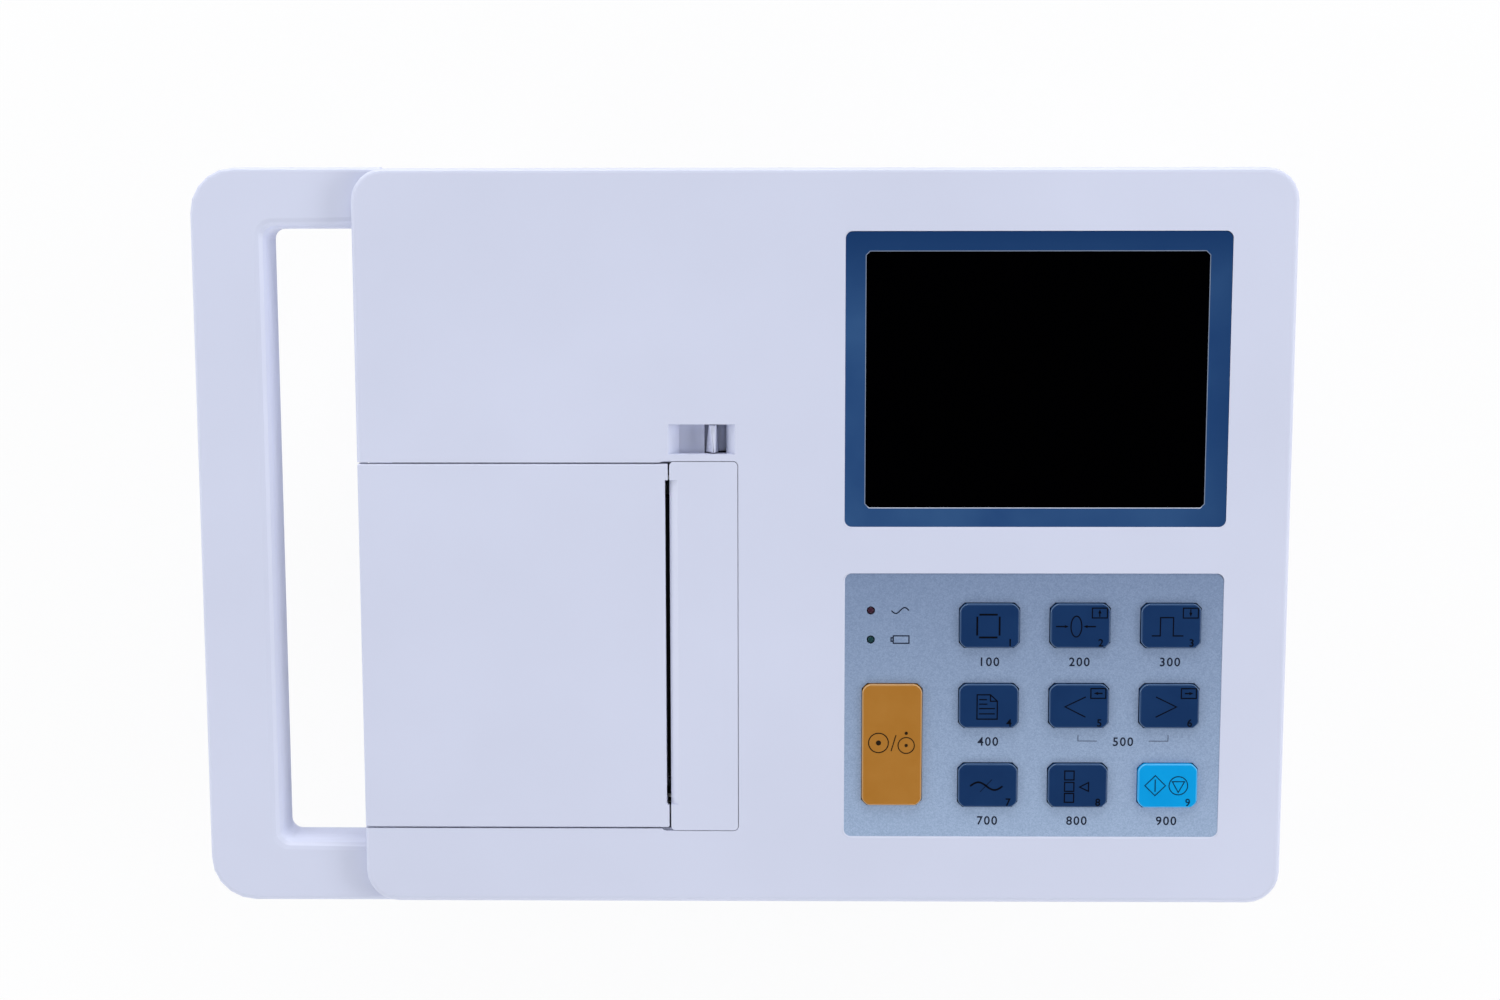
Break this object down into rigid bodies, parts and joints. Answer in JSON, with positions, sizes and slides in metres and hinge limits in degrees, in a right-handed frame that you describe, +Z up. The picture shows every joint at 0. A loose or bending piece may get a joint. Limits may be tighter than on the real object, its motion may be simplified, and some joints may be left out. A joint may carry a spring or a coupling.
{
  "type": "ecg machine",
  "caption": "Tabletop electrocardiograph: sloping case with roll-paper recorder under a hinged door, display, keypad and side carrying handle.",
  "frame": {"origin": "centre of the bounding box at the level the feet stand on", "axes": "+Z up, +X towards the right side away from the handle, -Y towards the user"},
  "size_m": [0.318, 0.2164, 0.0769],
  "materials": {
    "case_plastic": "fine-textured moulded ABS, pale blue-grey",
    "inner_plastic": "plain moulded plastic",
    "key_plastic": "satin dark blue with a light rim",
    "run_key_plastic": "satin bright blue",
    "power_key_plastic": "satin amber",
    "overlay_film": "metallic blue-grey printed film",
    "window_acrylic": "clear acrylic printed blue round the view",
    "lcd_glass": "black liquid-crystal glass",
    "sheet_steel": "zinc-plated sheet steel",
    "turned_steel": "ground steel",
    "nickel": "nickel-plated shells and posts",
    "sintered_brass": "sintered bronze",
    "gear_plastic": "natural acetal",
    "platen_rubber": "ground dark rubber",
    "chart_paper": "thermal chart paper",
    "core_card": "wound cardboard tube",
    "head_ceramic": "alumina with a glaze line",
    "head_aluminium": "extruded aluminium",
    "circuit_board": "solder-masked glass-fibre board",
    "black_plastic": "black moulded plastic",
    "led_lens": "tinted lamp lens",
    "battery_wrap": "shrink-wrapped cells",
    "ribbon": "grey flat cable"
  },
  "bodies": {
    "case": {"top_case": "case_plastic", "bottom_case": "case_plastic", "handle_cover": "case_plastic", "case_screws": "turned_steel", "feet": "platen_rubber", "display_window": "window_acrylic", "lcd_panel": "lcd_glass", "lcd_frame": "sheet_steel", "lcd_board": "circuit_board", "keypad_overlay": "overlay_film", "key_switches": "black_plastic", "keypad_board": "circuit_board", "indicator_leds": "led_lens", "board_screws": "turned_steel", "printer_cover": "case_plastic", "tear_bar": "sheet_steel", "door_hinge_pin": "turned_steel", "paper_bay": "inner_plastic", "printer_chassis": "sheet_steel", "head_pivot": "turned_steel", "head_springs": "turned_steel", "stepper_motor": "turned_steel", "idler_pin": "turned_steel", "latch_spring": "turned_steel", "paper_sensor": "black_plastic", "main_board": "circuit_board", "board_parts": "black_plastic", "power_supply": "circuit_board", "battery_pack": "battery_wrap", "battery_door": "case_plastic", "mains_inlet": "black_plastic", "power_switch": "black_plastic", "rear_terminals": "nickel", "side_sockets": "nickel", "ribbon_cables": "ribbon"},
    "door": {"paper_door": "case_plastic", "platen_bushes": "sintered_brass"},
    "platen": {"platen_roller": "platen_rubber", "platen_shaft": "turned_steel", "platen_gear": "gear_plastic"},
    "idler": {"idler_gear": "gear_plastic"},
    "motor_rotor": {"motor_pinion": "sintered_brass"},
    "roll": {"paper_roll": "chart_paper", "paper_core": "core_card", "paper_reel": "inner_plastic"},
    "head": {"print_head": "head_ceramic", "head_carrier": "head_aluminium"},
    "latch": {"latch_shaft": "sheet_steel", "release_lever": "case_plastic"},
    "rocker": {"power_rocker": "black_plastic"},
    "button_1": {"key_1": "key_plastic"},
    "button_2": {"key_2": "key_plastic"},
    "button_3": {"key_3": "key_plastic"},
    "button_4": {"key_4": "key_plastic"},
    "button_5": {"key_5": "key_plastic"},
    "button_6": {"key_6": "key_plastic"},
    "button_7": {"key_7": "key_plastic"},
    "button_8": {"key_8": "key_plastic"},
    "button_9": {"key_9": "run_key_plastic"},
    "power_button": {"key_power": "power_key_plastic"}
  },
  "joints": [
    {"name": "door_hinge", "type": "hinge", "parent": "case", "child": "door", "pos_m": [-0.10645, -0.02904, 0.05537], "axis": [0, -0.9957, -0.0924], "range_deg": [0, 100]},
    {"name": "platen_spin", "type": "hinge", "parent": "door", "child": "platen", "pos_m": [-0.02745, -0.02867, 0.05139], "axis": [0, 0.9957, 0.0924], "continuous": true},
    {"name": "idler_spin", "type": "hinge", "parent": "case", "child": "idler", "pos_m": [-0.02745, -0.02742, 0.03795], "axis": [0, 0.9957, 0.0924], "continuous": true},
    {"name": "motor_spin", "type": "hinge", "parent": "case", "child": "motor_rotor", "pos_m": [-0.02395, -0.02651, 0.02809], "axis": [0, 0.9957, 0.0924], "continuous": true},
    {"name": "roll_spin", "type": "hinge", "parent": "case", "child": "roll", "pos_m": [-0.06595, -0.02733, 0.03695], "axis": [0, 0.9957, 0.0924], "continuous": true},
    {"name": "head_rock", "type": "hinge", "parent": "case", "child": "head", "pos_m": [-0.01595, -0.02761, 0.03994], "axis": [0, 0.9957, 0.0924], "range_deg": [0, 2.5], "stiffness_Nm_per_rad": 2, "springref_deg": -2.86},
    {"name": "latch_turn", "type": "hinge", "parent": "case", "child": "latch", "pos_m": [-0.00995, -0.0271, 0.03446], "axis": [0, 0.9957, 0.0924], "range_deg": [0, 4.5], "stiffness_Nm_per_rad": 1, "springref_deg": -5.73},
    {"name": "rocker_turn", "type": "hinge", "parent": "case", "child": "rocker", "pos_m": [-0.01345, 0.1007, 0.039], "axis": [1, 0, 0], "range_deg": [0, 12]},
    {"name": "key_1_press", "type": "slide", "parent": "case", "child": "button_1", "axis": [0, 0.0924, -0.9957], "range_m": [0, 0.0006], "stiffness_N_per_m": 600, "springref_m": -0.0005},
    {"name": "key_2_press", "type": "slide", "parent": "case", "child": "button_2", "axis": [0, 0.0924, -0.9957], "range_m": [0, 0.0006], "stiffness_N_per_m": 600, "springref_m": -0.0005},
    {"name": "key_3_press", "type": "slide", "parent": "case", "child": "button_3", "axis": [0, 0.0924, -0.9957], "range_m": [0, 0.0006], "stiffness_N_per_m": 600, "springref_m": -0.0005},
    {"name": "key_4_press", "type": "slide", "parent": "case", "child": "button_4", "axis": [0, 0.0924, -0.9957], "range_m": [0, 0.0006], "stiffness_N_per_m": 600, "springref_m": -0.0005},
    {"name": "key_5_press", "type": "slide", "parent": "case", "child": "button_5", "axis": [0, 0.0924, -0.9957], "range_m": [0, 0.0006], "stiffness_N_per_m": 600, "springref_m": -0.0005},
    {"name": "key_6_press", "type": "slide", "parent": "case", "child": "button_6", "axis": [0, 0.0924, -0.9957], "range_m": [0, 0.0006], "stiffness_N_per_m": 600, "springref_m": -0.0005},
    {"name": "key_7_press", "type": "slide", "parent": "case", "child": "button_7", "axis": [0, 0.0924, -0.9957], "range_m": [0, 0.0006], "stiffness_N_per_m": 600, "springref_m": -0.0005},
    {"name": "key_8_press", "type": "slide", "parent": "case", "child": "button_8", "axis": [0, 0.0924, -0.9957], "range_m": [0, 0.0006], "stiffness_N_per_m": 600, "springref_m": -0.0005},
    {"name": "key_9_press", "type": "slide", "parent": "case", "child": "button_9", "axis": [0, 0.0924, -0.9957], "range_m": [0, 0.0006], "stiffness_N_per_m": 600, "springref_m": -0.0005},
    {"name": "power_press", "type": "slide", "parent": "case", "child": "power_button", "axis": [0, 0.0924, -0.9957], "range_m": [0, 0.0006], "stiffness_N_per_m": 600, "springref_m": -0.0005}
  ],
  "couplings": [
    {"joint": "idler_spin", "follows": "platen_spin", "ratio": -0.8},
    {"joint": "motor_spin", "follows": "platen_spin", "ratio": 2}
  ]
}
